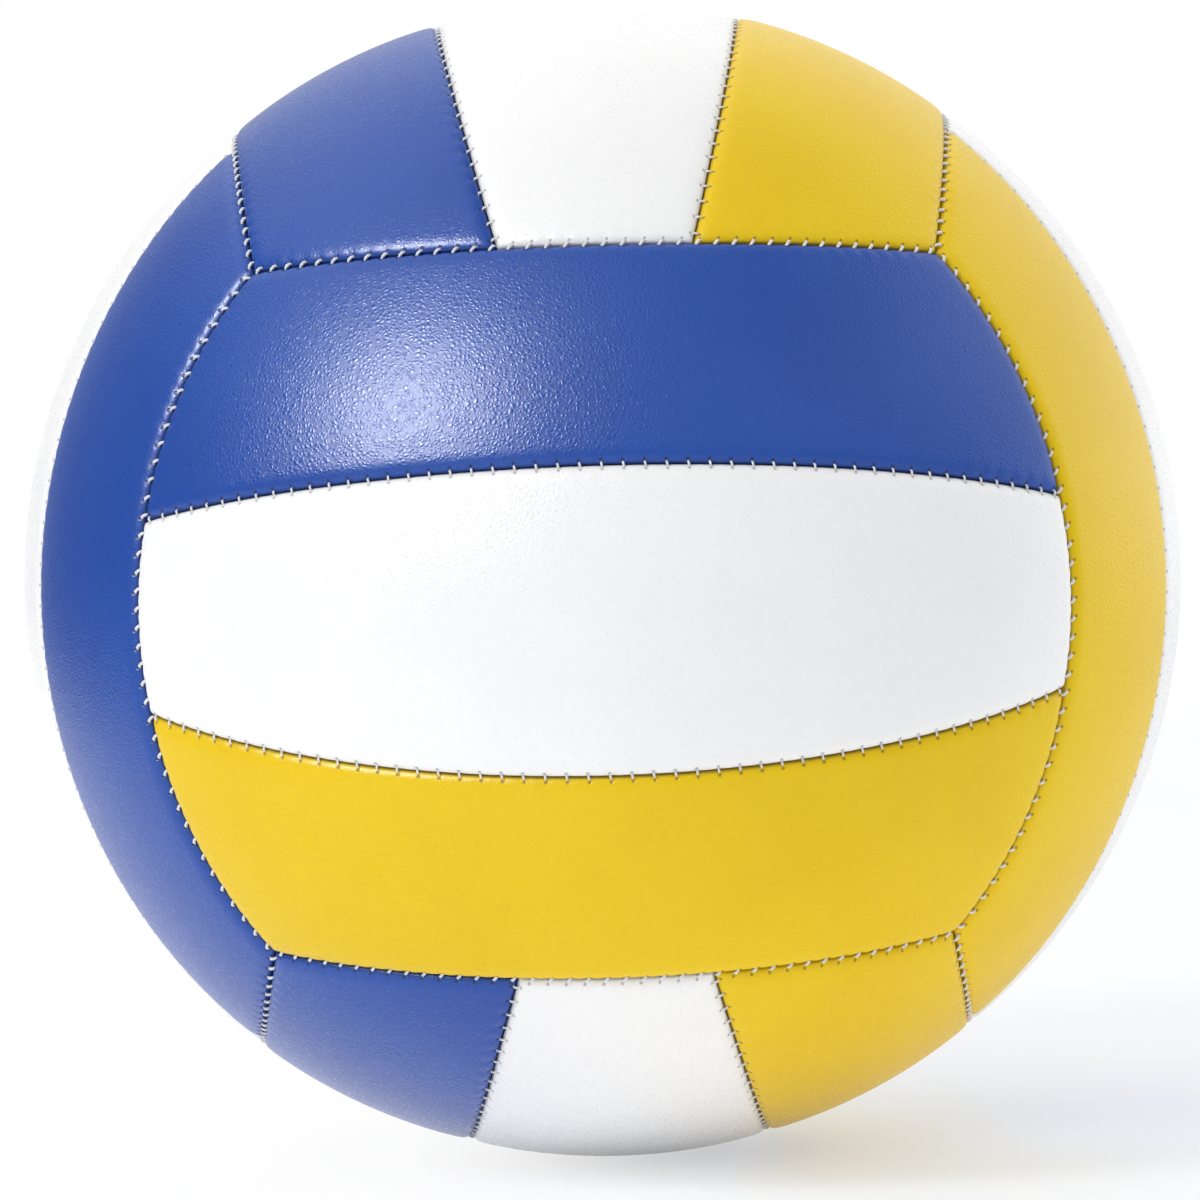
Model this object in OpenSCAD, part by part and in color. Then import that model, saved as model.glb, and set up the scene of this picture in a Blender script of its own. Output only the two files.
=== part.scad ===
// Volleyball: eighteen sewn cover panels over an inflated bladder with a needle valve.
// The ball is six faces of three strips each. The long edge of every face meets the ends of the
// strips of the face beside it, so the strips turn a quarter turn from face to face.
// Frame: origin at the ball's centre, +Z up, front face towards -Y, valve towards +Y.

/* [Ball] */
// Outside diameter over the crowns of the panels
ball_d = 210; // [180:1:230]
// Angle at the ball's centre from a face's middle to the seam inside the face
inner_seam_deg = 15; // [12:0.5:18]
// Angle at the ball's centre from a face's middle to the middle of its long edge
outer_seam_deg = 38; // [36.5:0.5:42]

/* [Cover panels] */
// Thickness of the synthetic leather skin
cover_t = 1.2; // [0.8:0.1:1.8]
// Thickness of the skin where its edge is turned in for the seam
turned_edge_t = 1.2; // [0.8:0.1:2]
// Radius of the rolled edge beside a seam
rolled_edge_r = 2.5; // [2:0.1:3.2]
// Gap between the turned-in edges of two neighbouring panels
seam_gap = 0.2; // [0.1:0.05:0.4]

/* [Panel backing] */
// Thickness of the soft foam under the skin
foam_t = 2.2; // [1.8:0.1:4]
// Thickness of the woven cotton lining under the foam
lining_t = 0.8; // [0.4:0.1:1.5]
// Glue line between the layers and the turned-in edges round them
glue_gap = 0.05; // [0.03:0.01:0.1]

/* [Seam thread] */
// Diameter of the thread that lies in the seam valley
thread_d = 0.8; // [0.5:0.1:1.2]
// Clearance between the thread and the rolled edges
thread_gap = 0.1; // [0.05:0.01:0.2]

/* [Bladder] */
// Wall thickness of the rubber bladder
bladder_t = 0.7; // [0.5:0.1:1.5]
// Clearance between the bladder and the lining
bladder_gap = 0.1; // [0.05:0.05:0.3]

/* [Valve] */
// Diameter of the rubber mouth that shows in the panel
mouth_d = 8; // [7.4:0.2:10]
// Depth of the mouth's face below the crown of the panel
mouth_recess = 0.4; // [0.2:0.1:0.8]
// Bevel round the mouth's face
mouth_bevel = 0.4; // [0.2:0.1:0.6]
// Clearance round the mouth in each layer that it passes through
mouth_gap = 0.15; // [0.1:0.05:0.4]
// Diameter of the flange that is bonded inside the bladder
flange_d = 24; // [18:1:30]
// Thickness of the flange beside the stem
flange_t = 1.8; // [1.4:0.1:2.5]
// Thickness of the flange at its rim
flange_rim_t = 0.5; // [0.3:0.1:1]
// Diameter of the stem below the flange
stem_d = 10; // [8.8:0.2:12]
// Length of the stem below the flange
stem_l = 11; // [10:0.5:16]
// Thickness of the stem's closed end
stem_end_t = 1.2; // [0.8:0.1:2]
// Bevel round the stem's closed end
stem_bevel = 0.8; // [0.4:0.1:1]
// Diameter of the reinforcing patch let into the lining
patch_d = 36; // [30:1:42]

/* [Valve core] */
// Diameter of the core's shank
core_d = 4.6; // [4:0.1:5.2]
// Diameter of the core's head
core_head_d = 6; // [5.6:0.1:6.4]
// Thickness of the core's head
core_head_t = 1.4; // [1:0.1:2]
// Diameter of the foot that holds the core in the stem
core_foot_d = 6.2; // [5.6:0.1:6.8]
// Length of the foot
core_foot_l = 2.4; // [1.5:0.1:3]
// Clearance between the core and its pocket
core_gap = 0.05; // [0.03:0.01:0.1]
// Free space below the core
core_end_gap = 0.5; // [0.3:0.1:1]
// Diameter of the hole that takes the inflating needle
needle_hole_d = 2.2; // [2:0.1:2.6]
// Depth of the needle hole below its lead-in
needle_hole_l = 8; // [6:0.5:10]
// Width and depth of the lead-in round the needle hole
lead_in = 0.6; // [0.3:0.1:0.9]

/* [Hidden] */
$fn = 96;
section_fn = 48; // for the small circles of a seam's cross section
sweep_fn = 240; // for the long curves along a seam
overrun = 1; // how far a cut runs past the face it opens
quarter_turn = 90;
half_turn = 180;
ball_r = ball_d / 2;

// Radii of the layers, from the skin inwards
foam_r = ball_r - cover_t - glue_gap;
foam_in_r = foam_r - foam_t;
lining_r = foam_in_r - glue_gap;
laminate_r = lining_r - lining_t;
bladder_r = laminate_r - bladder_gap;
bladder_in_r = bladder_r - bladder_t;

// How far the skin's walls and the backing's edges stand back from the middle of a seam
wall_inset = seam_gap / 2;
pocket_inset = wall_inset + turned_edge_t;
backing_inset = pocket_inset + glue_gap;

// Seams. Each is a circle on the ball, given by its axis and by the angle from the axis to the
// seam. An edge seam runs from one cube corner of the ball to the next and bows towards the face
// whose long edge it is. An inner seam is part of a great circle.
corner_share = 1 / sqrt(3); // each coordinate of a cube corner, as a share of the ball's radius
edge_rise_share = sin(outer_seam_deg) - corner_share;
edge_run_share = cos(outer_seam_deg) - corner_share;
edge_tilt = atan(edge_rise_share / edge_run_share);
edge_plane_share = corner_share * (cos(edge_tilt) - sin(edge_tilt)); // from centre to seam's plane
edge_deg = acos(edge_plane_share);
edge_half_sweep = asin(corner_share / sin(edge_deg));
inner_deg = quarter_turn;
inner_lean = atan2(sin(edge_tilt), cos(inner_seam_deg) * cos(edge_tilt));
inner_span_share = norm([sin(edge_tilt), cos(inner_seam_deg) * cos(edge_tilt)]);
inner_half_sweep = acos(edge_plane_share / inner_span_share) - inner_lean;

// Rolled edge. Its arc is centred a little nearer to the skin and to the turned edge than its
// radius, so that it crosses both at a small angle.
roll_share = 0.98;
roll_r = ball_r - roll_share * rolled_edge_r; // from the ball's centre to the arc's centre
roll_off = roll_share * rolled_edge_r + wall_inset; // from the seam to the arc's centre
valley_end_deg = 3; // how far a valley runs past the ends of its seam

// Thread, lying on both rolled edges
thread_r = thread_d / 2;
thread_reach = rolled_edge_r + thread_gap + thread_r; // from an arc's centre to the thread's
thread_line_r = roll_r + sqrt(pow(thread_reach, 2) - pow(roll_off, 2));
thread_end_gap = thread_d + thread_gap; // kept free where three threads meet

// Valve, measured outwards along its axis from the ball's centre
mouth_y = ball_r - mouth_recess;
flange_top_r = bladder_in_r - glue_gap;
flange_low_y = flange_top_r - flange_t;
flange_rim_y = sqrt(pow(flange_top_r, 2) - pow(flange_d / 2, 2)) - flange_rim_t;
stem_end_y = flange_low_y - stem_l;
pocket_end_y = stem_end_y + stem_end_t;
core_end_y = pocket_end_y + core_end_gap;
core_foot_y = core_end_y + core_foot_l;
core_head_y = mouth_y - core_head_t;
lead_in_y = mouth_y - lead_in;
needle_end_y = lead_in_y - needle_hole_l;
mouth_hole_r = mouth_d / 2 + mouth_gap;
patch_r = patch_d / 2;

// Faces, each with the turn that brings it from the drawing position, where its strips run along
// X and the face looks up, and then its strips from -Y to +Y with their colours
blue = [0.09, 0.2, 0.6];
white = [0.93, 0.93, 0.94];
yellow = [0.95, 0.76, 0.06];
FACES = [
    ["front", [90, 0, 0], ["lower", "middle", "upper"], [yellow, white, blue]],
    ["back", [90, 0, 180], ["lower", "middle", "upper"], [yellow, white, blue]],
    ["left", [0, -90, 0], ["front", "middle", "rear"], [blue, white, yellow]],
    ["right", [0, 90, 0], ["front", "middle", "rear"], [yellow, white, blue]],
    ["top", [0, 0, -90], ["left", "middle", "right"], [blue, white, yellow]],
    ["bottom", [180, 0, 90], ["left", "middle", "right"], [blue, white, yellow]],
];
STRIPS = [-1, 0, 1];
SIDES = [-1, 1];
VALVE_FACE = 1;
VALVE_STRIP = 0;

function face_name(piece, f) = str(piece, "_", FACES[f][0]);
function strip_name(piece, f, s) = str(face_name(piece, f), "_", FACES[f][2][s + 1]);
function strip_color(f, s) = FACES[f][3][s + 1];
function has_valve(f, s) = f == VALVE_FACE && s == VALVE_STRIP;

module face_turn(f) { rotate(FACES[f][1]) children(); }

// These three put a shape that is drawn round +Z, with its middle over -X, onto a seam of a face
// in the drawing position. Side 1 is the seam towards +Y, or at the strips' ends towards +X.
module to_side(side) { rotate([0, 0, side < 0 ? half_turn : 0]) children(); }
module on_edge_seam(side) {
    to_side(side) rotate([-quarter_turn - edge_tilt, 0, 0]) rotate([0, 0, quarter_turn]) children();
}
module on_inner_seam(side) {
    to_side(side) rotate([-quarter_turn - inner_seam_deg, 0, 0]) rotate([0, 0, quarter_turn]) children();
}
module on_end_seam(side) {
    to_side(side) rotate([0, -edge_tilt, half_turn]) children();
}

// The side of an edge seam that its axis is on, drawn in from the seam by inset. A large ball
// makes this cut, because it crosses the skin squarely all along the seam.
module inside_edge(inset) {
    translate([0, 0, ball_r / cos(edge_deg)]) sphere(r = ball_r * tan(edge_deg) - inset, $fn = sweep_fn);
}

// Everything past an inner seam's plane, from inset onwards
module past_inner(inset) {
    translate([0, 0, inset]) cylinder(h = ball_d, r = ball_d);
}

// A ball with its poles off the ends of the strips
module ball(r) {
    rotate([0, quarter_turn, 0]) sphere(r = r);
}

// The middle strip, or the one on side 1 of it, between two radii and with its edges drawn in from
// the seams by inset
module strip_space(middle, outer_r, inner_r, inset) {
    intersection() {
        difference() {
            ball(outer_r);
            ball(inner_r);
            if (middle) for (side = SIDES) on_inner_seam(side) past_inner(-inset);
            else on_edge_seam(1) inside_edge(-inset);
        }
        if (!middle) on_inner_seam(1) past_inner(inset);
        on_end_seam(1) inside_edge(inset);
        on_end_seam(-1) inside_edge(inset);
    }
}

// The valley that two rolled edges leave along a seam. In its cross section +Y runs outwards
// through the seam.
module valley(seam_deg, half_sweep) {
    sweep = half_sweep + valley_end_deg;
    rotate([0, 0, half_turn - sweep]) rotate_extrude(angle = 2 * sweep, $fn = sweep_fn) rotate(-seam_deg)
        difference() {
            translate([-roll_off, roll_r]) square([2 * roll_off, rolled_edge_r + overrun]);
            for (side = SIDES)
                translate([side * roll_off, roll_r]) circle(r = rolled_edge_r, $fn = section_fn);
        }
}

// A round hole along the valve's axis, in the drawing position
module valve_hole(r) {
    cylinder(h = ball_d, r = r);
}

// Skin of one panel: a curved tray with rolled and turned-in edges
module cover(f, s) {
    middle = s == 0;
    color(strip_color(f, s)) face_turn(f) to_side(s) difference() {
        difference() {
            strip_space(middle, ball_r, laminate_r, wall_inset);
            strip_space(middle, ball_r - cover_t, laminate_r - overrun, pocket_inset);
        }
        for (side = SIDES) on_end_seam(side) valley(edge_deg, edge_half_sweep);
        on_inner_seam(1) valley(inner_deg, inner_half_sweep);
        if (middle) on_inner_seam(-1) valley(inner_deg, inner_half_sweep);
        else on_edge_seam(1) valley(edge_deg, edge_half_sweep);
        if (has_valve(f, s)) valve_hole(mouth_hole_r);
    }
}

// Foam bonded inside the skin
module foam(f, s) {
    color("ivory") face_turn(f) to_side(s) difference() {
        strip_space(s == 0, foam_r, foam_in_r, backing_inset);
        if (has_valve(f, s)) valve_hole(mouth_hole_r);
    }
}

// Woven lining of one face, cut apart along the inner seams into its three strips
module lining(f) {
    color("linen") face_turn(f) difference() {
        intersection() {
            ball(lining_r);
            on_end_seam(1) inside_edge(backing_inset);
            on_end_seam(-1) inside_edge(backing_inset);
        }
        ball(laminate_r);
        for (side = SIDES) on_edge_seam(side) inside_edge(-backing_inset);
        for (side = SIDES) on_inner_seam(side) cylinder(h = 2 * backing_inset, r = ball_d, center = true);
        if (f == VALVE_FACE) valve_hole(patch_r + mouth_gap);
    }
}

// Thread along a seam, half_sweep to each side of its middle less the gap at its ends
module thread_run(seam_deg, half_sweep) {
    run_r = thread_line_r * sin(seam_deg);
    sweep = half_sweep - thread_end_gap / run_r * half_turn / PI;
    rotate([0, 0, half_turn - sweep]) rotate_extrude(angle = 2 * sweep, $fn = sweep_fn) rotate(-seam_deg)
        translate([0, thread_line_r]) circle(r = thread_r, $fn = section_fn);
}

// Threads of the two seams between a face's own strips
module inner_thread(f) {
    color("white") face_turn(f) for (side = SIDES)
        on_inner_seam(side) thread_run(inner_deg, inner_half_sweep);
}

// Threads of the two long edges of a face
module edge_thread(f) {
    color("white") face_turn(f) for (side = SIDES)
        on_edge_seam(side) thread_run(edge_deg, edge_half_sweep);
}

// Rubber bladder with a hole for the valve
module bladder() {
    color("dimgray") face_turn(VALVE_FACE) difference() {
        sphere(r = bladder_r);
        sphere(r = bladder_in_r);
        valve_hole(mouth_hole_r);
    }
}

// Patch that fills the lining's cut-out round the valve
module valve_patch() {
    color("darkslategray") face_turn(VALVE_FACE) difference() {
        intersection() {
            sphere(r = lining_r);
            valve_hole(patch_r);
        }
        sphere(r = laminate_r);
        valve_hole(mouth_hole_r);
    }
}

// Moulded rubber valve: mouth, flange under the bladder's wall, and stem with the core's pocket
module valve_body() {
    color("black") face_turn(VALVE_FACE) rotate_extrude() difference() {
        union() {
            polygon([
                [0, stem_end_y],
                [stem_d / 2 - stem_bevel, stem_end_y],
                [stem_d / 2, stem_end_y + stem_bevel],
                [stem_d / 2, flange_low_y],
                [mouth_d / 2, flange_low_y],
                [mouth_d / 2, mouth_y - mouth_bevel],
                [mouth_d / 2 - mouth_bevel, mouth_y],
                [0, mouth_y],
            ]);
            intersection() {
                circle(r = flange_top_r, $fn = 4 * sweep_fn);
                polygon([
                    [0, flange_low_y - flange_t],
                    [stem_d / 2, flange_low_y - flange_t],
                    [stem_d / 2 + flange_t, flange_low_y],
                    [flange_d / 2, flange_rim_y],
                    [flange_d / 2, ball_r],
                    [0, ball_r],
                ]);
            }
        }
        translate([0, pocket_end_y]) square([core_d / 2 + core_gap, ball_r]);
        translate([0, pocket_end_y])
            square([core_foot_d / 2 + core_gap, core_foot_y + core_gap - pocket_end_y]);
        translate([0, core_head_y - core_gap]) square([core_head_d / 2 + core_gap, ball_r]);
    }
}

// Soft core that seals round the needle and closes when it is drawn out
module valve_core() {
    color("gray") face_turn(VALVE_FACE) rotate_extrude() polygon([
        [0, core_end_y],
        [core_foot_d / 2, core_end_y],
        [core_foot_d / 2, core_foot_y],
        [core_d / 2, core_foot_y],
        [core_d / 2, core_head_y],
        [core_head_d / 2, core_head_y],
        [core_head_d / 2, mouth_y],
        [needle_hole_d / 2 + lead_in, mouth_y],
        [needle_hole_d / 2, lead_in_y],
        [needle_hole_d / 2, needle_end_y],
        [0, needle_end_y],
    ]);
}

for (f = [0:5]) {
    for (s = STRIPS) {
        cover(f, s);
        foam(f, s);
    }
    lining(f);
    inner_thread(f);
    edge_thread(f);
}
bladder();
valve_patch();
valve_body();
valve_core();
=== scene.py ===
from math import acos, atan, cos, exp, pi, radians, sin, sqrt

import bpy
import numpy as np
from mathutils import Matrix, Vector


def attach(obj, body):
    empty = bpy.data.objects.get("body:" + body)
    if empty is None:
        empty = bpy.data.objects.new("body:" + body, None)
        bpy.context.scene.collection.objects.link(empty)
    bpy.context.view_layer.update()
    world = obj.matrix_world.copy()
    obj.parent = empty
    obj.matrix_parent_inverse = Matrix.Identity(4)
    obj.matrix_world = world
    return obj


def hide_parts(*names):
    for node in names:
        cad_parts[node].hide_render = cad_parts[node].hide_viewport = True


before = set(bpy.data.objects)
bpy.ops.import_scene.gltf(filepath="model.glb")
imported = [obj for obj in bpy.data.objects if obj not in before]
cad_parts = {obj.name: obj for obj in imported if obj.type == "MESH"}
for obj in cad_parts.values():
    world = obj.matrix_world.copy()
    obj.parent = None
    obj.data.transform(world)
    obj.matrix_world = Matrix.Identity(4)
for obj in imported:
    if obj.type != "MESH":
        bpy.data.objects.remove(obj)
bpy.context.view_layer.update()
scene = bpy.context.scene
print("frame loaded:", len(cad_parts), "nodes")

# u runs along a face's strips, v across them, n out of the ball
ballFaces = {
    "front": {"u": (1, 0, 0), "v": (0, 0, 1), "n": (0, -1, 0)},
    "back": {"u": (-1, 0, 0), "v": (0, 0, 1), "n": (0, 1, 0)},
    "left": {"u": (0, 0, 1), "v": (0, 1, 0), "n": (-1, 0, 0)},
    "right": {"u": (0, 0, -1), "v": (0, 1, 0), "n": (1, 0, 0)},
    "top": {"u": (0, -1, 0), "v": (1, 0, 0), "n": (0, 0, 1)},
    "bottom": {"u": (0, 1, 0), "v": (1, 0, 0), "n": (0, 0, -1)},
}

# strips of each face from -v to +v, and the leather each is cut from
stripPlan = {
    "front": (("lower", "yellow"), ("middle", "white"), ("upper", "blue")),
    "back": (("lower", "yellow"), ("middle", "white"), ("upper", "blue")),
    "left": (("front", "blue"), ("middle", "white"), ("rear", "yellow")),
    "right": (("front", "yellow"), ("middle", "white"), ("rear", "blue")),
    "top": (("left", "blue"), ("middle", "white"), ("right", "yellow")),
    "bottom": (("left", "blue"), ("middle", "white"), ("right", "yellow")),
}

seamPlan = {
    "ballRadius": 104.98,       # mm, out to the crown of the leather
    "innerAngle": 15.0,         # degrees from a face's middle to its inner seams
    "edgeAngle": 38.0,          # degrees from a face's middle to its long edges
    "innerPitch": 3.8, "edgePitch": 3.3,     # mm from stitch to stitch
}


# small helpers

def deselectAll():
    if bpy.context.object and bpy.context.object.mode != "OBJECT":
        bpy.ops.object.mode_set(mode="OBJECT")
    bpy.ops.object.select_all(action="DESELECT")


def makeActive(obj):
    deselectAll()
    obj.select_set(True)
    bpy.context.view_layer.objects.active = obj


def discard(*objects):
    for obj in objects:
        makeActive(obj)
        bpy.ops.object.delete()


def applyPlace(obj, matrix):
    makeActive(obj)
    obj.matrix_world = matrix
    bpy.ops.object.transform_apply(location=True, rotation=True, scale=True)


def copyPlaced(master, name, matrix):
    makeActive(master)
    bpy.ops.object.duplicate(linked=False)
    piece = bpy.context.object
    piece.name = name
    piece.data.name = name
    applyPlace(piece, matrix)
    return piece


def faceTurn(face, halfTurn=False):
    side = ballFaces[face]
    s = -1 if halfTurn else 1
    u, v, n = (Vector(side[k]) for k in "uvn")
    return Matrix((s * u, s * v, n)).transposed().to_4x4()


# seams: each is a circle on the ball, turned about its own axis

innerLean = radians(seamPlan["innerAngle"])
edgeLean = radians(seamPlan["edgeAngle"])
corner = 1 / sqrt(3)            # the long edges run from corner to corner
edgeAxis = Vector((cos(edgeLean) - corner, corner - sin(edgeLean))).normalized()     # v and n of their circle's axis
edgePolar = acos(edgeAxis[0] * corner + edgeAxis[1] * corner)


def seamCircle(axis, across, along, polar, inward, half):
    radius = seamPlan["ballRadius"] * sin(polar)
    pitch = seamPlan["innerPitch" if polar == pi / 2 else "edgePitch"]
    hand = 1 if Vector(axis).cross(Vector(across)).dot(Vector(along)) > 0 else -1
    return {"axis": Vector(axis), "across": Vector(across), "along": Vector(along), "polar": polar, "hand": hand,
            "inward": inward, "half": half, "pitch": pitch, "count": round(2 * half * radius / pitch)}


def edgeHalf():
    v, n = edgeAxis
    return atan(corner / (corner * v - corner * n))


def innerHalf():
    # where an inner seam runs into the neighbour's long edge
    v, n = edgeAxis
    a, b = cos(innerLean) * v, n
    return acos(cos(edgePolar) / sqrt(a * a + b * b)) - atan(-b / a)


alongU, alongV = (1, 0, 0), (0, 1, 0)
rise, fall = cos(innerLean), sin(innerLean)
axisV, axisN = edgeAxis
seamKinds = {
    "innerHigh": seamCircle((0, rise, -fall), (0, fall, rise), alongU, pi / 2, 1, innerHalf()),
    "innerLow": seamCircle((0, -rise, -fall), (0, -fall, rise), alongU, pi / 2, 1, innerHalf()),
    "innerUnder": seamCircle((0, rise, -fall), (0, fall, rise), alongU, pi / 2, -1, innerHalf()),
    "edge": seamCircle((0, axisV, axisN), (0, -axisN, axisV), alongU, edgePolar, 1, edgeHalf()),
    "endRight": seamCircle((axisN, 0, axisV), (axisV, 0, -axisN), alongV, edgePolar, -1, edgeHalf()),
    "endLeft": seamCircle((-axisN, 0, axisV), (-axisV, 0, -axisN), alongV, edgePolar, -1, edgeHalf()),
}
print("seams:", {k: s["count"] for k, s in seamKinds.items()}, "stitches, polar", round(edgePolar * 180 / pi, 3))


stitch = {
    # mm half thick, mm from hole to hole, degrees, and mm from the ball's middle
    "inner": {"thread": 0.21, "span": 1.25, "slant": 12, "height": 104.26},
    "edge": {"thread": 0.29, "span": 1.75, "slant": 38, "height": 104.31},
    "sides": 6,
    "cuts": (-0.42, -0.2, 0.2, 0.42),   # where a rung can bend, as shares of its span
    "sink": 0.60,               # mm that each end goes down into its hole
    "flatShare": 0.4,           # share of the half span that stays flat
    "tipShare": 0.95,           # beyond this share the thread is narrower
    "tipWidth": 0.6,
    "lowerDeeper": 0.28,        # the lower seams of the front and back faces are drawn in this much further
    "backhand": ("front", "back"),      # faces whose long edges were sewn the other way, so their stitches lean back
}
# the neighbour whose long edges close off each face's strips
endOwner = {"front": "left", "back": "left", "left": "top", "right": "top", "top": "front", "bottom": "front"}


def leanOf(face):
    return -1 if face in stitch["backhand"] else 1


def stitchOf(seam):
    return stitch["inner" if seam["polar"] == pi / 2 else "edge"]


# cover panels: thin leather, rolled down at the seams and drawn in by every stitch

coverPanel = {
    "thickness": 0.0012,
    "rollWidth": 2.2,           # mm, as all lengths below
    "rollDepth": 1.3,
    "rollMeet": 3,              # how smoothly two rolled edges run together at a corner
    "gapTight": 0.02,           # half the gap between two panels at a stitch
    "gapOpen": 0.08,            # and between two stitches
    "gapReach": 4,              # how far from the seam the gap evens out
    "pinchDepth": 0.24,
    "pinchReach": 1.8,
    "pinchShape": 1.4,          # higher is a shorter pinch at each stitch
    "crownDrop": 0.22,          # how much flatter the leather lies towards a seam
    "crownReach": 5.5,
    "rollSteps": (90, 74, 57, 40, 22),
    "flatSteps": (2.6, 3.6, 5.2),
    "columns": 224,             # between the end bands
    "rowsOuter": 46,
    "rowsMiddle": 32,
    "wallSteps": (0.9945, 0.9945),      # each turn-in, as a share of the radius
}

# how the grid of a strip is found: a first guess across the face, then small steps towards the seams
laying = {"outerRows": (0.27, 0.9), "middleRows": (-0.27, 0.27), "turns": 12, "nudge": 1e-6, "longestStep": 0.1}


def pinch(phase):
    return (0.5 - 0.5 * np.cos(2 * pi * phase)) ** coverPanel["pinchShape"]


def openGap(away, phase):
    c = coverPanel
    return c["gapOpen"] - (c["gapOpen"] - c["gapTight"]) * pinch(phase) * np.exp(-(away / c["gapReach"]) ** 2)


def seamPlace(seam, d):
    # distance from the seam along the ball, and the place along it in stitches
    axis, across, along = (np.array(seam[k]) for k in ("axis", "across", "along"))
    polar = np.arccos(np.clip(d @ axis, -1, 1))
    away = seam["inward"] * (polar - seam["polar"]) * seamPlan["ballRadius"]
    phase = (np.arctan2(d @ along, d @ across) / seam["half"] + 1) / 2 * seam["count"]
    return away, phase


def bandSteps(between):
    c = coverPanel
    near = [c["rollWidth"] * (1 - sin(radians(a))) for a in c["rollSteps"]] + list(c["flatSteps"])
    kind = [-1] * len(near) + [0] * between + [1] * len(near)
    step = near + [(k + 1) / (between + 1) for k in range(between)] + near[::-1]
    return np.array(kind), np.array(step), near[-1]


def bandMiss(kind, step, last, low, high):
    middle = (low - last) * (1 - step) - (high - last) * step
    return np.where(kind < 0, low - step, np.where(kind > 0, high - step, middle))


def layStrip(sides, rows):
    # the directions of a strip's grid points: bands that follow the seams, and even rows between them
    low, high, left, right = (seamKinds[s] for s in sides)
    uKind, uStep, last = bandSteps(coverPanel["columns"])
    vKind, vStep, last = bandSteps(rows)
    columns, lines = len(uKind), len(vKind)
    start, stop = laying["outerRows" if low["inward"] < 0 else "middleRows"]
    a = np.tile(np.linspace(-1, 1, columns), (lines, 1))
    b = np.tile(np.linspace(start, stop, lines)[:, None], (1, columns))

    def miss(a, b):
        d = np.stack([a, b, np.ones_like(a)], -1)
        d /= np.linalg.norm(d, axis=-1, keepdims=True)
        away = []
        for seam in (low, high, left, right):
            distance, phase = seamPlace(seam, d)
            away.append(distance - openGap(distance, phase))
        return (bandMiss(uKind, uStep, last, away[2], away[3]),
                bandMiss(vKind[:, None], vStep[:, None], last, away[0], away[1]), d)

    e, longest = laying["nudge"], laying["longestStep"]
    for turn in range(laying["turns"]):
        fu, fv, d = miss(a, b)
        ua, va, _ = miss(a + e, b)
        ub, vb, _ = miss(a, b + e)
        j11, j12, j21, j22 = (ua - fu) / e, (ub - fu) / e, (va - fv) / e, (vb - fv) / e
        det = j11 * j22 - j12 * j21
        da = np.clip((-fu * j22 + fv * j12) / det, -longest, longest)
        db = np.clip((-fv * j11 + fu * j21) / det, -longest, longest)
        a, b = a + da, b + db
    fu, fv, d = miss(a, b)
    print("  strip laid, largest miss", round(float(max(abs(fu).max(), abs(fv).max())), 5), "mm")
    return d


def leatherRadius(sides, d):
    c = coverPanel
    drops, dip = [], 0
    for name in sides:
        away, phase = seamPlace(seamKinds[name], d)
        x = np.clip((away - openGap(away, phase)) / c["rollWidth"], 0, 1)
        drops.append(c["rollDepth"] * (1 - np.sqrt(np.clip(1 - (1 - x) ** 2, 0, 1))))
        dip = dip + c["pinchDepth"] * pinch(phase) * np.exp(-(away / c["pinchReach"]) ** 2)
        dip = dip + c["crownDrop"] * np.exp(-away / c["crownReach"])
    rolled = sum(x ** c["rollMeet"] for x in drops) ** (1 / c["rollMeet"])
    return seamPlan["ballRadius"] - rolled - dip


def holeShift(name, face):
    # a slanted stitch has its hole a little further along the seam than its middle
    seam = seamKinds[name]
    kind = stitchOf(seam)
    if name.startswith("inner"):
        lean = 1
    else:
        lean = leanOf(face if name == "edge" else endOwner[face])
    return lean * seam["inward"] * seam["hand"] * kind["span"] / 2 * sin(radians(kind["slant"])) / seam["pitch"]


def seamMap(sides, d, face):
    (awayA, phaseA), (awayB, phaseB) = (seamPlace(seamKinds[name], d) for name in sides)
    phaseA, phaseB = phaseA - holeShift(sides[0], face), phaseB - holeShift(sides[1], face)
    nearer = awayA < awayB
    return np.where(nearer, phaseA, phaseB), np.where(nearer, awayA, awayB)


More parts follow.
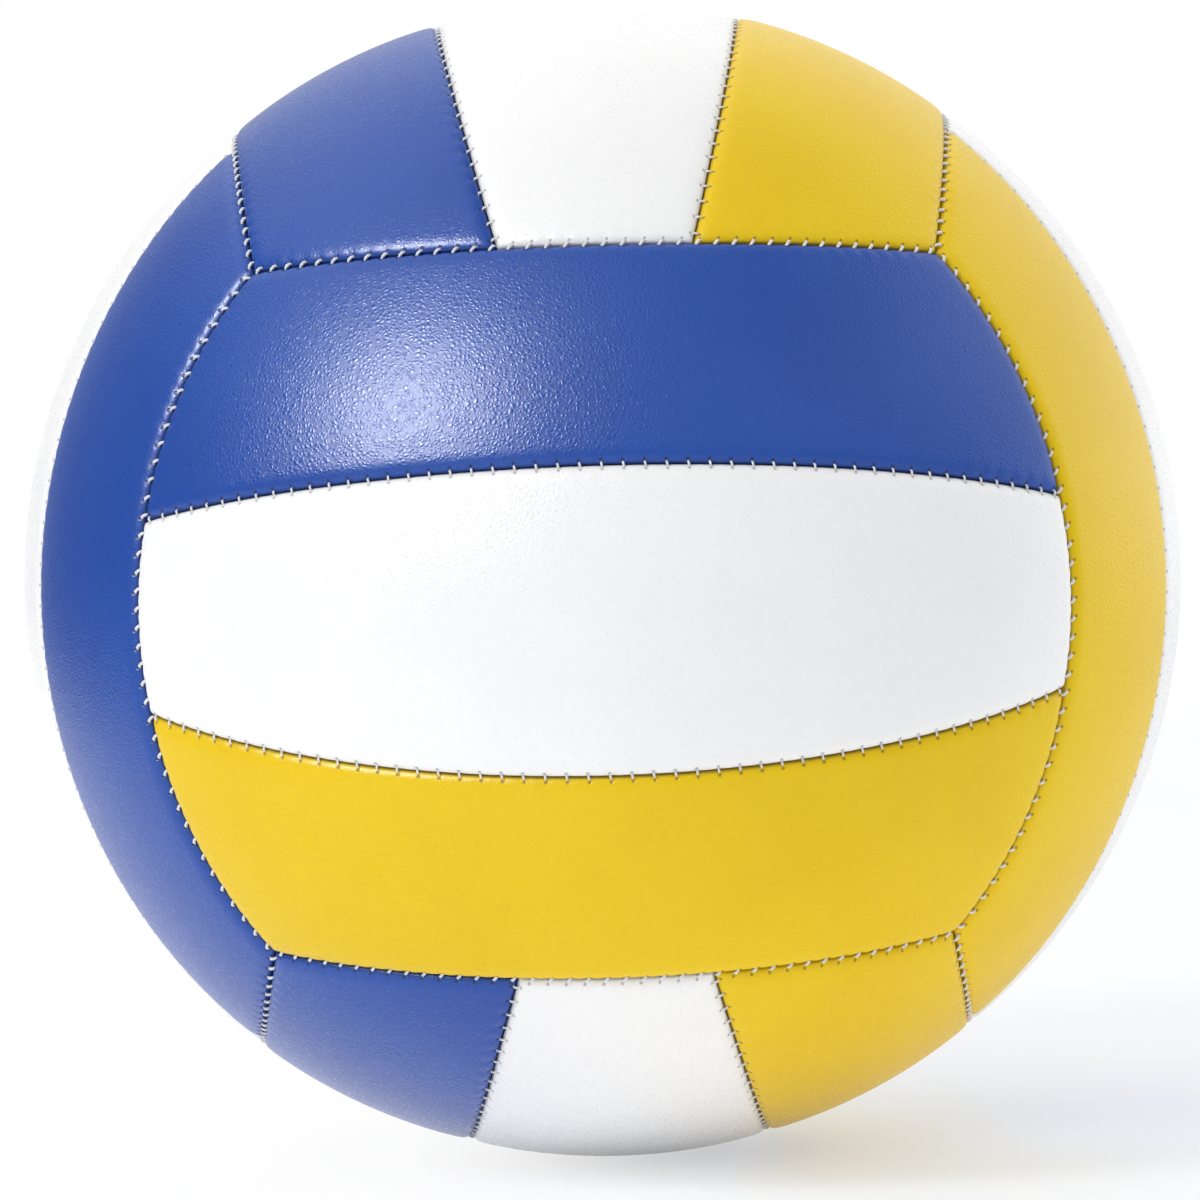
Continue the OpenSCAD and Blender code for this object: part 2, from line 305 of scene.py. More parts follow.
def makePanel(name, sides, directions, face):
    lines, columns = directions.shape[:2]
    deselectAll()
    bpy.ops.mesh.primitive_grid_add(x_subdivisions=columns - 1, y_subdivisions=lines - 1, size=1)
    panel = bpy.context.object
    panel.name = name
    mesh = panel.data
    flat = np.array([p.co for p in mesh.vertices])
    i = np.rint((flat[:, 0] + 0.5) * (columns - 1)).astype(int)
    j = np.rint((flat[:, 1] + 0.5) * (lines - 1)).astype(int)
    d = directions[j, i]
    place = d * leatherRadius(sides, d)[:, None] / 1000
    mesh.vertices.foreach_set("co", place.ravel())

    loops = np.zeros(len(mesh.loops), int)
    mesh.loops.foreach_get("vertex_index", loops)
    mesh.uv_layers.remove(mesh.uv_layers[0])
    for layer, pair in (("longSeam", sides[:2]), ("endSeam", sides[2:])):
        phase, away = seamMap(pair, d, face)
        uv = mesh.uv_layers.new(name=layer)
        uv.data.foreach_set("uv", np.stack([phase, away], -1)[loops].ravel())
    mesh.update()

    bpy.ops.object.mode_set(mode="EDIT")
    bpy.ops.mesh.select_mode(type="EDGE")
    bpy.ops.mesh.select_all(action="DESELECT")
    bpy.ops.mesh.select_non_manifold()
    for k in coverPanel["wallSteps"]:                # the edge is turned in towards the bladder
        bpy.ops.mesh.extrude_region_move()
        bpy.ops.transform.resize(value=(k, k, k), center_override=(0, 0, 0))
    bpy.ops.object.mode_set(mode="OBJECT")

    leather = panel.modifiers.new("leather", "SOLIDIFY")
    leather.thickness = coverPanel["thickness"]
    leather.offset = -1
    bpy.ops.object.modifier_apply(modifier=leather.name)
    bpy.ops.object.shade_smooth()
    print("  panel", name, len(mesh.polygons), "faces")
    return panel


outerSides = ("innerUnder", "edge", "endLeft", "endRight")
middleSides = ("innerLow", "innerHigh", "endLeft", "endRight")
outerWays = layStrip(outerSides, coverPanel["rowsOuter"])
middleWays = layStrip(middleSides, coverPanel["rowsMiddle"])

# opposite faces are sewn alike, so three pairs of master panels serve for all eighteen
sewnLike = {"back": "front", "right": "left", "bottom": "top"}
masters = {}
for face in ("front", "left", "top"):
    masters[face] = (makePanel("outer_" + face, outerSides, outerWays, face),
                     makePanel("middle_" + face, middleSides, middleWays, face))

panels = {}
for face, strips in stripPlan.items():
    outer, middle = masters[sewnLike.get(face, face)]
    for place, (strip, colour) in enumerate(strips):
        master = middle if place == 1 else outer
        panel = copyPlaced(master, "panel_" + face + "_" + strip, faceTurn(face, halfTurn=place == 0))
        panels[panel.name] = (panel, "cover_" + face + "_" + strip, colour)
print("cover panels:", len(panels))


valveMouth = {
    "radius": 4.15,             # mm, the hole in the leather
    "dimple": 0.30,             # how far the leather is drawn in round it
    "dimpleReach": 3.0,
    "lip": 0.30,                # the rounded edge of the hole
    "lipReach": 0.9,
    "finer": 11.0,              # the mesh is made finer out to here
    "finerCuts": 2,
    "drillSides": 72,
    "drillLength": 12,
    "drillPlace": 104,          # mm from the ball's middle to the drill's
}


def cutMouth(panel):
    v = valveMouth
    makeActive(panel)
    bpy.ops.object.mode_set(mode="EDIT")
    bpy.ops.mesh.select_mode(type="FACE")
    bpy.ops.mesh.select_all(action="DESELECT")
    bpy.ops.object.mode_set(mode="OBJECT")
    for f in panel.data.polygons:
        f.select = sqrt(f.center.x ** 2 + f.center.z ** 2) < v["finer"] / 1000
    bpy.ops.object.mode_set(mode="EDIT")
    bpy.ops.mesh.subdivide(number_cuts=v["finerCuts"])
    bpy.ops.object.mode_set(mode="OBJECT")
    for p in panel.data.vertices:
        out = sqrt(p.co.x ** 2 + p.co.z ** 2) * 1000 - v["radius"]
        if out < v["finer"]:
            roll = min(1, max(0, 1 - out / v["lipReach"]))
            dip = v["dimple"] * exp(-(max(0, out) / v["dimpleReach"]) ** 2) + v["lip"] * (1 - sqrt(1 - roll ** 2))
            p.co -= p.co.normalized() * dip / 1000
    bpy.ops.mesh.primitive_cylinder_add(vertices=v["drillSides"], radius=v["radius"] / 1000,
                                        depth=v["drillLength"] / 1000, location=(0, v["drillPlace"] / 1000, 0),
                                        rotation=(radians(90), 0, 0))
    drill = bpy.context.object
    makeActive(panel)
    cut = panel.modifiers.new("mouth", "BOOLEAN")
    cut.operation = "DIFFERENCE"
    cut.solver = "EXACT"
    cut.object = drill
    bpy.ops.object.modifier_apply(modifier=cut.name)
    discard(drill)
    print("  valve mouth cut,", len(panel.data.polygons), "faces")


cutMouth(panels["panel_back_middle"][0])


# stitches: one thread rung, repeated round each seam

def makeStitch(kind):
    s = {**stitch, **stitch[kind]}
    deselectAll()
    bpy.ops.mesh.primitive_cylinder_add(vertices=s["sides"], radius=s["thread"] / 1000, depth=s["span"] / 1000,
                                        rotation=(0, radians(90), 0))
    rung = bpy.context.object
    bpy.ops.object.transform_apply(location=True, rotation=True, scale=True)
    bpy.ops.object.mode_set(mode="EDIT")
    for share in s["cuts"]:
        bpy.ops.mesh.select_all(action="SELECT")
        bpy.ops.mesh.bisect(plane_co=(share * s["span"] / 1000, 0, 0), plane_no=(1, 0, 0))
    bpy.ops.object.mode_set(mode="OBJECT")
    for p in rung.data.vertices:                    # both ends dive into their holes
        share = abs(p.co.x) / (s["span"] / 2000)
        dive = max(0, share - s["flatShare"]) / (1 - s["flatShare"])
        p.co.z -= s["sink"] / 1000 * dive ** 2
        if share > s["tipShare"]:
            p.co.y *= s["tipWidth"]
    bpy.ops.object.shade_smooth()
    return rung


def stitchSeam(rung, seam, name, lean):
    gap = 2 * seam["half"] / seam["count"]
    first = gap / 2 - seam["half"]
    radial = seam["across"] * sin(seam["polar"]) + seam["axis"] * cos(seam["polar"])
    tangent = seam["across"] * cos(seam["polar"]) - seam["axis"] * sin(seam["polar"])
    place = Matrix((tangent, radial.cross(tangent), radial)).transposed().to_4x4()
    lift = Matrix.Translation((0, 0, stitchOf(seam)["height"] / 1000))
    slant = Matrix.Rotation(lean * radians(stitchOf(seam)["slant"]), 4, "Z")
    way = seam["hand"]                              # the spin operator turns the other way from Matrix.Rotation
    start = Matrix.Rotation(way * first, 4, seam["axis"])
    row = copyPlaced(rung, name, start @ place @ lift @ slant)
    bpy.ops.object.mode_set(mode="EDIT")
    bpy.ops.mesh.select_all(action="SELECT")
    bpy.ops.mesh.spin(steps=seam["count"] - 1, dupli=True, angle=-way * gap * (seam["count"] - 1),
                      center=(0, 0, 0), axis=seam["axis"])
    bpy.ops.object.mode_set(mode="OBJECT")
    return row


def makeStitchPair(kind, seam, name, lean=1, deeper=0):
    rung = makeStitch(kind)
    row = stitchSeam(rung, seam, name, lean)
    discard(rung)
    drawnIn = Matrix.Scale(1 - deeper / stitch[kind]["height"], 4)
    other = copyPlaced(row, name + "_other", Matrix.Rotation(pi, 4, "Z") @ drawnIn)
    makeActive(row)
    other.select_set(True)
    bpy.ops.object.join()
    return row


innerMaster = makeStitchPair("inner", seamKinds["innerHigh"], "innerRow")
edgeMaster = makeStitchPair("edge", seamKinds["edge"], "edgeRow")
backMaster = makeStitchPair("edge", seamKinds["edge"], "backRow", lean=-1, deeper=stitch["lowerDeeper"])

threads = {}
for face in ballFaces:
    for kind, master in (("inner", innerMaster), ("edge", edgeMaster if leanOf(face) > 0 else backMaster)):
        piece = copyPlaced(master, kind + "_stitches_" + face, faceTurn(face))
        threads[piece.name] = (piece, kind + "_thread_" + face)
discard(innerMaster, edgeMaster, backMaster, *(m for pair in masters.values() for m in pair))
print("stitch rows:", len(threads))


# materials

def addNode(tree, kind, inputs=None, **settings):
    made = tree.nodes.new(kind)
    for key, value in settings.items():
        setattr(made, key, value)
    for key, value in (inputs or {}).items():
        if isinstance(value, bpy.types.NodeSocket):
            tree.links.new(value, made.inputs[key])
        else:
            made.inputs[key].default_value = value
    return made


def newGroup(name, inputs, outputs):
    group = bpy.data.node_groups.new(name, "ShaderNodeTree")
    for label, value in inputs.items():
        socket = group.interface.new_socket(label, in_out="INPUT", socket_type="NodeSocketFloat")
        socket.default_value = value
    for label, kind in outputs.items():
        group.interface.new_socket(label, in_out="OUTPUT", socket_type=kind)
    return group, group.nodes.new("NodeGroupInput"), group.nodes.new("NodeGroupOutput")


def newMaterial(name):
    material = bpy.data.materials.new(name)
    material.use_nodes = True
    tree = material.node_tree
    tree.nodes.clear()
    shader = tree.nodes.new("ShaderNodeBsdfPrincipled")
    out = tree.nodes.new("ShaderNodeOutputMaterial")
    tree.links.new(shader.outputs[0], out.inputs[0])
    return material, tree, shader


def mathNode(tree, operation, *values, clamp=False):
    made = addNode(tree, "ShaderNodeMath", dict(enumerate(values)), operation=operation)
    made.use_clamp = clamp
    return made.outputs[0]


def rampNode(tree, value, low, high, toLow=0.0, toHigh=1.0):
    made = addNode(tree, "ShaderNodeMapRange", {0: value, 1: low, 2: high, 3: toLow, 4: toHigh},
                   interpolation_type="SMOOTHSTEP")
    return made.outputs[0]


def mixColour(tree, share, a, b):
    return addNode(tree, "ShaderNodeMix", {0: share, 6: a, 7: b}, data_type="RGBA").outputs[2]


def blendNode(tree, share, a, b):
    return addNode(tree, "ShaderNodeMix", {0: share, 2: a, 3: b}).outputs[0]


grainLook = {
    "cell": 0.78,               # mm across a pebble
    "crinkle": 0.50,            # how strongly the fine crinkle lies on it
    "crinkleScale": 2300.0,
    "rounding": 0.46,           # how far a pebble's sides slope towards its middle
    "wobble": 0.0007,           # m that the cells are bent, so that none is straight
    "wobbleScale": 900.0,
}


# pebbled grain: rounded cells just under a millimetre wide, with a finer crinkle on top
def makeGrainGroup():
    g = grainLook
    group, gin, gout = newGroup("pebbleGrain", {"Cell": g["cell"], "Crinkle": g["crinkle"]},
                                {"Height": "NodeSocketFloat", "Furrow": "NodeSocketFloat"})
    coords = group.nodes.new("ShaderNodeTexCoord").outputs["Object"]
    density = mathNode(group, "DIVIDE", 1000.0, gin.outputs["Cell"])
    wobble = addNode(group, "ShaderNodeTexNoise", {"Vector": coords, "Scale": g["wobbleScale"], "Detail": 1.0})
    shift = addNode(group, "ShaderNodeVectorMath", {0: wobble.outputs["Color"], 1: (0.5, 0.5, 0.5)},
                    operation="SUBTRACT")
    bent = addNode(group, "ShaderNodeVectorMath", {0: shift.outputs[0], "Scale": g["wobble"]}, operation="SCALE")
    where = addNode(group, "ShaderNodeVectorMath", {0: coords, 1: bent.outputs[0]}, operation="ADD")
    cells = addNode(group, "ShaderNodeTexVoronoi", {"Vector": where.outputs[0], "Scale": density},
                    feature="DISTANCE_TO_EDGE")
    pebble = rampNode(group, cells.outputs["Distance"], 0.0, g["rounding"])
    fine = addNode(group, "ShaderNodeTexNoise", {"Vector": coords, "Scale": g["crinkleScale"], "Detail": 2.0})
    crinkle = mathNode(group, "MULTIPLY", fine.outputs[0], gin.outputs["Crinkle"])
    group.links.new(mathNode(group, "ADD", pebble, crinkle), gout.inputs["Height"])
    group.links.new(mathNode(group, "SUBTRACT", 1.0, pebble), gout.inputs["Furrow"])
    return group


seamLook = {
    "holeAway": 0.82, "holeSize": 0.30, "valley": 0.50,      # mm
    "holeFade": (0.5, 1.3), "valleyFade": (0.2, 1.0),        # from dark to clear, as shares of those sizes
}


# masks along the stitched seams: the seam's valley, which gets painted shade, and a pricked hole at each end of a
# stitch, pressed in and given a painted shadow
def makeSeamGroup():
    s = seamLook
    group, gin, gout = newGroup("stitchedEdge",
                                {"Hole Away": s["holeAway"], "Hole Size": s["holeSize"], "Valley": s["valley"]},
                                {"Valley": "NodeSocketFloat", "Hole": "NodeSocketFloat", "Away": "NodeSocketFloat"})
    holes, valleys, aways = [], [], []
    for layer in ("longSeam", "endSeam"):
        uv = addNode(group, "ShaderNodeUVMap", uv_map=layer)
        parts = addNode(group, "ShaderNodeSeparateXYZ", {0: uv.outputs[0]})
        phase, away = parts.outputs[0], parts.outputs[1]
        beside = mathNode(group, "SUBTRACT", mathNode(group, "FRACT", phase), 0.5)
        beside = mathNode(group, "MULTIPLY", beside, seamPlan["edgePitch"])
        out = mathNode(group, "SUBTRACT", away, gin.outputs["Hole Away"])
        far = mathNode(group, "SQRT", mathNode(group, "ADD", mathNode(group, "MULTIPLY", beside, beside),
                                               mathNode(group, "MULTIPLY", out, out)))
        hole = mathNode(group, "DIVIDE", far, gin.outputs["Hole Size"])
        valley = mathNode(group, "DIVIDE", away, gin.outputs["Valley"])
        holes.append(rampNode(group, hole, *s["holeFade"], 1.0, 0.0))
        valleys.append(rampNode(group, valley, *s["valleyFade"], 1.0, 0.0))
        aways.append(away)
    group.links.new(mathNode(group, "MAXIMUM", *holes), gout.inputs["Hole"])
    group.links.new(mathNode(group, "MAXIMUM", *valleys), gout.inputs["Valley"])
    group.links.new(mathNode(group, "MINIMUM", *aways), gout.inputs["Away"])
    return group


grainGroup = makeGrainGroup()
seamGroup = makeSeamGroup()

# each leather's shade colour is painted shade: the furrows of the grain, the seams' valleys and the pricked holes are
# darkened towards it
leathers = {
    "blue": {"colour": (0.009, 0.063, 0.345, 1), "worn": (0.012, 0.072, 0.368, 1), "shadeColour": (0.004, 0.014, 0.070, 1),
             "furrowShade": 0.13, "shine": 0.36},
    "white": {"colour": (0.826, 0.826, 0.823, 1), "worn": (0.846, 0.846, 0.843, 1), "shadeColour": (0.360, 0.360, 0.370, 1),
              "furrowShade": 0.015, "shine": 0.36},
    "yellow": {"colour": (0.742, 0.503, 0.005, 1), "worn": (0.770, 0.530, 0.007, 1), "shadeColour": (0.270, 0.165, 0.008, 1),
               "furrowShade": 0.035, "shine": 0.20},
}

leatherFinish = {
    "patchScale": 28.0, "patchFade": (0.35, 0.65),      # large faint patches of the worn colour
    "valleyShade": 0.65, "holeShade": 0.8,
    "roughness": 0.23, "furrowRoughness": 0.15, "seamRoughness": 0.25,
    "bump": 0.47, "bumpDepth": 0.00009, "holeDepth": 2.5,
    "tautFade": (0.6, 3.0), "tautGrain": 0.35,          # mm from a seam, where the leather is pulled smoother
}


def leatherMaterial(name, tone):
    f = leatherFinish
    material, tree, shader = newMaterial(name)
    grain = addNode(tree, "ShaderNodeGroup", node_tree=grainGroup)
    seam = addNode(tree, "ShaderNodeGroup", node_tree=seamGroup)
    coords = tree.nodes.new("ShaderNodeTexCoord").outputs["Object"]
    patches = addNode(tree, "ShaderNodeTexNoise", {"Vector": coords, "Scale": f["patchScale"], "Detail": 3.0})
    base = mixColour(tree, rampNode(tree, patches.outputs[0], *f["patchFade"]), tone["colour"], tone["worn"])
    # painted shade in the furrows of the grain
    furrowShade = mathNode(tree, "MULTIPLY", grain.outputs["Furrow"], tone["furrowShade"])
    base = mixColour(tree, furrowShade, base, tone["shadeColour"])
    # painted shade in the seam's valley and a painted shadow in each hole
    paintedShade = mathNode(tree, "MAXIMUM", mathNode(tree, "MULTIPLY", seam.outputs["Valley"], f["valleyShade"]),
                    mathNode(tree, "MULTIPLY", seam.outputs["Hole"], f["holeShade"]))
    base = mixColour(tree, paintedShade, base, tone["shadeColour"])
    tree.links.new(base, shader.inputs["Base Color"])
    rough = mathNode(tree, "MULTIPLY", grain.outputs["Furrow"], f["furrowRoughness"])
    rough = mathNode(tree, "ADD", f["roughness"], rough)
    rough = mathNode(tree, "ADD", rough, mathNode(tree, "MULTIPLY", paintedShade, f["seamRoughness"]), clamp=True)
    tree.links.new(rough, shader.inputs["Roughness"])
    taut = rampNode(tree, seam.outputs["Away"], *f["tautFade"], f["tautGrain"], 1.0)
    height = mathNode(tree, "MULTIPLY", grain.outputs["Height"], taut)
    hole = mathNode(tree, "MULTIPLY", seam.outputs["Hole"], f["holeDepth"])
    height = mathNode(tree, "SUBTRACT", height, hole)
    bump = addNode(tree, "ShaderNodeBump", {"Height": height, "Strength": f["bump"], "Distance": f["bumpDepth"]})
    tree.links.new(bump.outputs[0], shader.inputs["Normal"])
    shader.inputs["Specular IOR Level"].default_value = tone["shine"]
    return material


threadLook = {
    "low": (0.60, 0.60, 0.61, 1), "high": (0.78, 0.78, 0.78, 1), "roughness": (0.5, 0.7),
    "fuzzScale": 3200.0, "fuzz": 0.5, "plyScale": 700.0, "plyBend": 1.5,
    "bump": 0.6, "bumpDepth": 0.00008,
}


def threadMaterial():
    t = threadLook
    material, tree, shader = newMaterial("whiteThread")
    coords = tree.nodes.new("ShaderNodeTexCoord").outputs["Object"]
    fuzz = addNode(tree, "ShaderNodeTexNoise", {"Vector": coords, "Scale": t["fuzzScale"], "Detail": 2.0})
    ply = addNode(tree, "ShaderNodeTexWave", {"Vector": coords, "Scale": t["plyScale"], "Distortion": t["plyBend"]},
                  wave_type="BANDS", bands_direction="DIAGONAL")
    tree.links.new(mixColour(tree, fuzz.outputs[0], t["low"], t["high"]), shader.inputs["Base Color"])
    height = mathNode(tree, "ADD", mathNode(tree, "MULTIPLY", fuzz.outputs[0], t["fuzz"]), ply.outputs[1])
    bump = addNode(tree, "ShaderNodeBump", {"Height": height, "Strength": t["bump"], "Distance": t["bumpDepth"]})
    tree.links.new(bump.outputs[0], shader.inputs["Normal"])
    tree.links.new(rampNode(tree, fuzz.outputs[0], 0.3, 0.7, *t["roughness"]), shader.inputs["Roughness"])
    return material


# the pieces inside, by the start of their nodes' names
innerLooks = {
    "foam": {"name": "greyFoam", "low": (0.45, 0.45, 0.43, 1), "high": (0.60, 0.60, 0.57, 1),
             "scale": 1500.0, "roughness": 0.85, "depth": 0.0002},
    "lining": {"name": "clothLining", "low": (0.50, 0.47, 0.40, 1), "high": (0.72, 0.69, 0.60, 1),
               "scale": 800.0, "roughness": 0.8, "depth": 0.0002, "weave": 420.0},
    "bladder": {"name": "butylRubber", "low": (0.018, 0.018, 0.019, 1), "high": (0.035, 0.034, 0.034, 1),
                "scale": 220.0, "roughness": 0.5, "depth": 0.0001},
    "valve_patch": {"name": "patchRubber", "low": (0.022, 0.022, 0.022, 1), "high": (0.040, 0.040, 0.040, 1),
                    "scale": 500.0, "roughness": 0.55, "depth": 0.0001},
    "valve_body": {"name": "valveRubber", "low": (0.030, 0.030, 0.031, 1), "high": (0.050, 0.050, 0.050, 1),
                   "scale": 900.0, "roughness": 0.45, "depth": 0.00008},
    "valve_core": {"name": "coreRubber", "low": (0.070, 0.068, 0.066, 1), "high": (0.100, 0.098, 0.095, 1),
                   "scale": 900.0, "roughness": 0.5, "depth": 0.00008},
}
innerFinish = {"roughnessSpread": 0.06, "weaveFuzz": 0.3, "bump": 0.5}


def innerMaterial(look):
    f = innerFinish
    material, tree, shader = newMaterial(look["name"])
    coords = tree.nodes.new("ShaderNodeTexCoord").outputs["Object"]
    noise = addNode(tree, "ShaderNodeTexNoise", {"Vector": coords, "Scale": look["scale"], "Detail": 4.0})
    height = noise.outputs[0]
    if "weave" in look:
        warp = addNode(tree, "ShaderNodeTexWave", {"Vector": coords, "Scale": look["weave"]}, bands_direction="X")
        weft = addNode(tree, "ShaderNodeTexWave", {"Vector": coords, "Scale": look["weave"]}, bands_direction="Z")
        height = mathNode(tree, "ADD", mathNode(tree, "MULTIPLY", warp.outputs[1], weft.outputs[1]),
                          mathNode(tree, "MULTIPLY", height, f["weaveFuzz"]))
    tree.links.new(mixColour(tree, height, look["low"], look["high"]), shader.inputs["Base Color"])
    rough = rampNode(tree, noise.outputs[0], 0.3, 0.7, look["roughness"] - f["roughnessSpread"],
                     look["roughness"] + f["roughnessSpread"])
    tree.links.new(rough, shader.inputs["Roughness"])
    bump = addNode(tree, "ShaderNodeBump", {"Height": height, "Strength": f["bump"], "Distance": look["depth"]})
    tree.links.new(bump.outputs[0], shader.inputs["Normal"])
    return material


leatherOf = {name: leatherMaterial(name + "Leather", tone) for name, tone in leathers.items()}
thread = threadMaterial()
innerOf = {kind: innerMaterial(look) for kind, look in innerLooks.items()}
print("materials made")


def dress(obj, material):
    if not obj.material_slots:
        obj.data.materials.append(material)
    for slot in obj.material_slots:
        slot.material = material


for piece, node, colour in panels.values():
    dress(piece, leatherOf[colour])
    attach(piece, "root")
    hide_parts(node)
for piece, node in threads.values():
    dress(piece, thread)
    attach(piece, "root")
    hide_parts(node)
for node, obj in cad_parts.items():
    for kind, material in innerOf.items():
        if node.startswith(kind):
            dress(obj, material)


# studio: camera, floor, room light and lamps

camera = {
    "tilt": 4.2, "yaw": 0.33, "roll": 1.69,     # degrees, how the ball is turned to the camera
    "distance": 1.785, "lens": 294.3, "sensor": 36, "shiftX": -0.0023, "shiftY": -0.0183,
}

facing = Matrix(((1, 0, 0), (0, 0, 1), (0, -1, 0)))      # a level camera that looks at the front face
turned = Matrix.Rotation(radians(camera["yaw"]), 3, "Y") @ Matrix.Rotation(radians(camera["tilt"]), 3, "X") \
    @ Matrix.Rotation(radians(camera["roll"]), 3, "Z") @ facing
toWorld = turned.transposed()
bpy.ops.object.camera_add()
cam = bpy.context.object
cam.name = "photoCamera"
cam.matrix_world = Matrix.Translation(toWorld @ Vector((0, 0, camera["distance"]))) @ toWorld.to_4x4()
cam.data.lens = camera["lens"]
cam.data.sensor_width = camera["sensor"]
cam.data.shift_x = camera["shiftX"]
cam.data.shift_y = camera["shiftY"]
scene.camera = cam


# metres: across is to the right, reach is out from under the ball
# a ramp is where it starts and ends, then its value at each; without values it runs from 0 to 1
floorLook = {
    "size": 2.4, "height": -0.105,
    "colour": (0.868, 0.885, 0.935, 1),
    "coolColour": (0.74, 0.82, 1.0, 1), "coolAcross": (-0.03, 0.06), "coolReach": (0.06, 0.19, 1.0, 0.0),
    # the white share is higher to the left of the ball: painted light that lightens the ball's shadow on that side
    "backdropAcross": (-0.045, 0.035, 0.96, 0.45), "backdropReach": (0.35, 1.0),     # share of white backdrop in it
    "mirrorLeft": (-0.65, -0.22, 0.1, 1.45), "mirrorRight": (-0.05, 0.1, 1.0, 0.45),   # how it shows in the gloss
    # painted glow that the floor gives up at the ball, with a painted shadow under the ball where it fades out
    "paintedGlowUp": 0.31, "paintedShadowUnder": (0.015, 0.07), "paintedGlowReach": (0.35, 0.45, 1.0, 0.0),
}

f = floorLook
deselectAll()
bpy.ops.mesh.primitive_plane_add(size=f["size"], location=(0, 0, f["height"]))
floor = bpy.context.object
floor.name = "studioFloor"

# the floor keeps the ball's shadow and fades into the white backdrop
floorMaterial = bpy.data.materials.new("paleFloor")
floorMaterial.use_nodes = True
tree = floorMaterial.node_tree
tree.nodes.clear()
path = tree.nodes.new("ShaderNodeLightPath")
seen = mathNode(tree, "MAXIMUM", path.outputs["Is Camera Ray"], path.outputs["Is Glossy Ray"])
seen = mathNode(tree, "MAXIMUM", seen, path.outputs["Is Transmission Ray"])
coords = tree.nodes.new("ShaderNodeTexCoord").outputs["Object"]
reach = addNode(tree, "ShaderNodeVectorMath", {0: coords}, operation="LENGTH").outputs["Value"]
side = addNode(tree, "ShaderNodeSeparateXYZ", {0: coords}).outputs[0]
# painted light: more white glow to the left of the ball than to the right, so its shadow shows less on the left
near = rampNode(tree, side, *f["backdropAcross"])
share = mathNode(tree, "MULTIPLY", seen, mathNode(tree, "MAXIMUM", near, rampNode(tree, reach, *f["backdropReach"])))
# the yellow that the ball throws on the floor is toned down for the camera
cool = mathNode(tree, "MULTIPLY", rampNode(tree, side, *f["coolAcross"]), rampNode(tree, reach, *f["coolReach"]))
cool = mathNode(tree, "MULTIPLY", cool, path.outputs["Is Camera Ray"])
diffuse = addNode(tree, "ShaderNodeBsdfDiffuse", {"Color": mixColour(tree, cool, f["colour"], f["coolColour"])})
dim = mathNode(tree, "MULTIPLY", rampNode(tree, side, *f["mirrorLeft"]), rampNode(tree, side, *f["mirrorRight"]))
dim = blendNode(tree, path.outputs["Is Glossy Ray"], 1.0, dim)
glow = addNode(tree, "ShaderNodeEmission", {"Color": (1, 1, 1, 1), "Strength": dim})
mixed = addNode(tree, "ShaderNodeMixShader", {0: share, 1: diffuse.outputs[0], 2: glow.outputs[0]})
# the floor also glows up at the ball from below, a painted glow that is no lamp; it fades to a painted shadow under
# the ball
paintedGlowLevel = mathNode(tree, "MULTIPLY", rampNode(tree, reach, *f["paintedShadowUnder"], 0.0, f["paintedGlowUp"]),
               rampNode(tree, reach, *f["paintedGlowReach"]))
paintedGlowLevel = mathNode(tree, "MULTIPLY", paintedGlowLevel, mathNode(tree, "SUBTRACT", 1.0, seen))
paintedGlowUp = addNode(tree, "ShaderNodeEmission", {"Strength": paintedGlowLevel})
both = addNode(tree, "ShaderNodeAddShader", {0: mixed.outputs[0], 1: paintedGlowUp.outputs[0]})
addNode(tree, "ShaderNodeOutputMaterial", {0: both.outputs[0]})
floor.data.materials.append(floorMaterial)

# how bright the room is by direction, which runs from -1 to 1 along x, y and z; ramps as for the floor
roomLook = {
    "front": 0.28, "frontFade": (-0.9, 0.1),
    "sides": (-0.7, 0.7, 0.66, 0.25),
    "behind": 0.44, "behindFade": (0.05, 0.55),
    "behindLeft": 1.40, "behindLeftFade": (-0.9, -0.6), "behindRight": 4.90, "behindRightFade": (0.5, 0.8),
    "over": 1.10, "overFade": (0.1, 0.85),
}

# how much of that the gloss shows
glossLook = {
    "left": (-0.9, 0.2, 0.04, 1.0), "right": (0.2, 0.9, 1.0, 2.4),
    "over": (-0.4, 0.4, 1.25, 0.2), "overFade": (0.45, 0.85),
    "behind": (0.05, 0.55, 1.0, 2.2), "most": 1.3, "backdropFade": (0.86, 0.98),
}

r, g = roomLook, glossLook
world = bpy.data.worlds.new("studioAir")
world.use_nodes = True
scene.world = world
tree = world.node_tree
tree.nodes.clear()
path = tree.nodes.new("ShaderNodeLightPath")
way = addNode(tree, "ShaderNodeSeparateXYZ", {0: tree.nodes.new("ShaderNodeTexCoord").outputs["Generated"]})
wayX, wayY, wayZ = way.outputs
behind = mathNode(tree, "ADD", rampNode(tree, wayX, *r["behindRightFade"], r["behind"], r["behindRight"]),
                  rampNode(tree, wayX, *r["behindLeftFade"], r["behindLeft"] - r["behind"], 0.0))
level = blendNode(tree, rampNode(tree, wayY, *r["behindFade"]), rampNode(tree, wayX, *r["sides"]), behind)
level = blendNode(tree, rampNode(tree, wayY, *r["frontFade"]), r["front"], level)
level = blendNode(tree, rampNode(tree, wayZ, *r["overFade"]), level, r["over"])
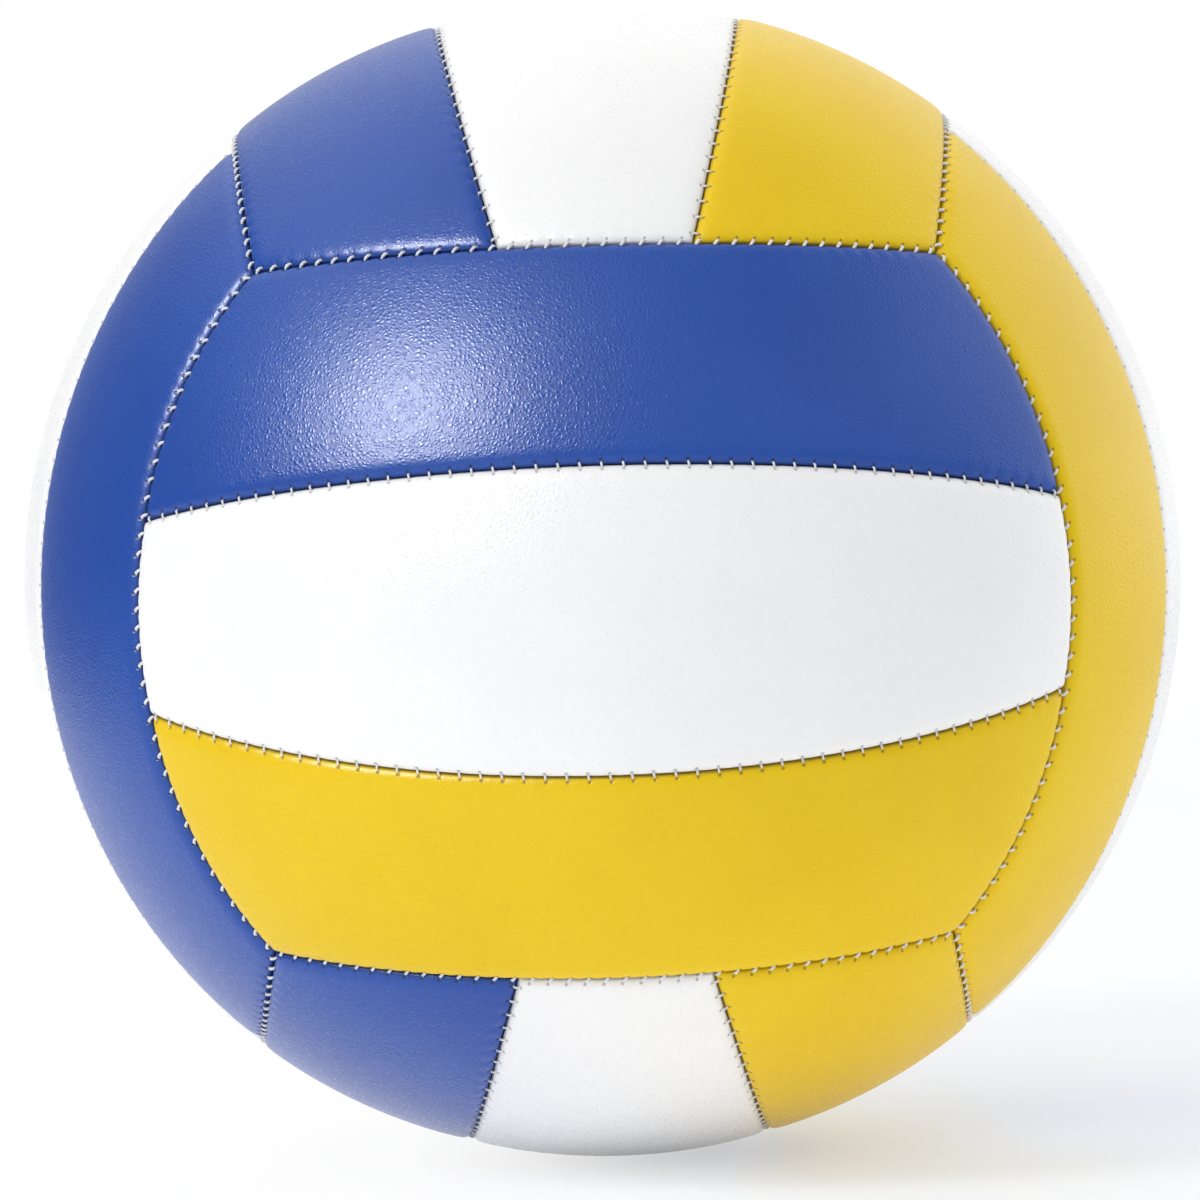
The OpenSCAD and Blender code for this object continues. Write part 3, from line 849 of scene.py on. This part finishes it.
dull = mathNode(tree, "MULTIPLY", rampNode(tree, wayX, *g["left"]), rampNode(tree, wayX, *g["right"]))
dull = blendNode(tree, rampNode(tree, wayZ, *g["overFade"]), dull, rampNode(tree, wayX, *g["over"]))
dull = mathNode(tree, "MULTIPLY", dull, rampNode(tree, wayY, *g["behind"]))
gloss = mathNode(tree, "MINIMUM", mathNode(tree, "MULTIPLY", level, dull), g["most"])
level = blendNode(tree, path.outputs["Is Glossy Ray"], level, gloss)
room = addNode(tree, "ShaderNodeBackground", {"Color": (1, 1, 1, 1), "Strength": level})
backdrop = addNode(tree, "ShaderNodeBackground", {"Color": (1, 1, 1, 1), "Strength": 1.0})
mirrored = mathNode(tree, "MAXIMUM", path.outputs["Is Glossy Ray"], path.outputs["Is Transmission Ray"])
mirrored = mathNode(tree, "MULTIPLY", mirrored, rampNode(tree, wayY, *g["backdropFade"]))
share = mathNode(tree, "MAXIMUM", path.outputs["Is Camera Ray"], mirrored)
mixed = addNode(tree, "ShaderNodeMixShader", {0: share, 1: room.outputs[0], 2: backdrop.outputs[0]})
addNode(tree, "ShaderNodeOutputWorld", {0: mixed.outputs[0]})

# watts, m across, and the way to each lamp as the camera sees it; the sheen shows in the gloss alone
lamps = {
    "distance": 1.5,
    "keyLight": {"power": 7.6, "size": 0.42, "way": (-0.604, 0.561, 0.566), "diffuse": True},
    "sheenLight": {"power": 49.0, "size": 0.61, "way": (-0.583, 0.479, 0.656), "diffuse": False},
}


def softbox(name):
    box = lamps[name]
    bpy.ops.object.light_add(type="AREA")
    lamp = bpy.context.object
    lamp.name = name
    lamp.data.energy = box["power"]
    lamp.data.size = box["size"]
    lamp.visible_camera = False
    lamp.visible_diffuse = box["diffuse"]
    lamp.visible_glossy = not box["diffuse"]
    place = toWorld @ Vector(box["way"]).normalized() * lamps["distance"]
    lamp.matrix_world = Matrix.Translation(place) @ place.to_track_quat("Z", "Y").to_matrix().to_4x4()


for name in ("keyLight", "sheenLight"):
    softbox(name)

scene.view_settings.view_transform = "Standard"
print("studio ready")
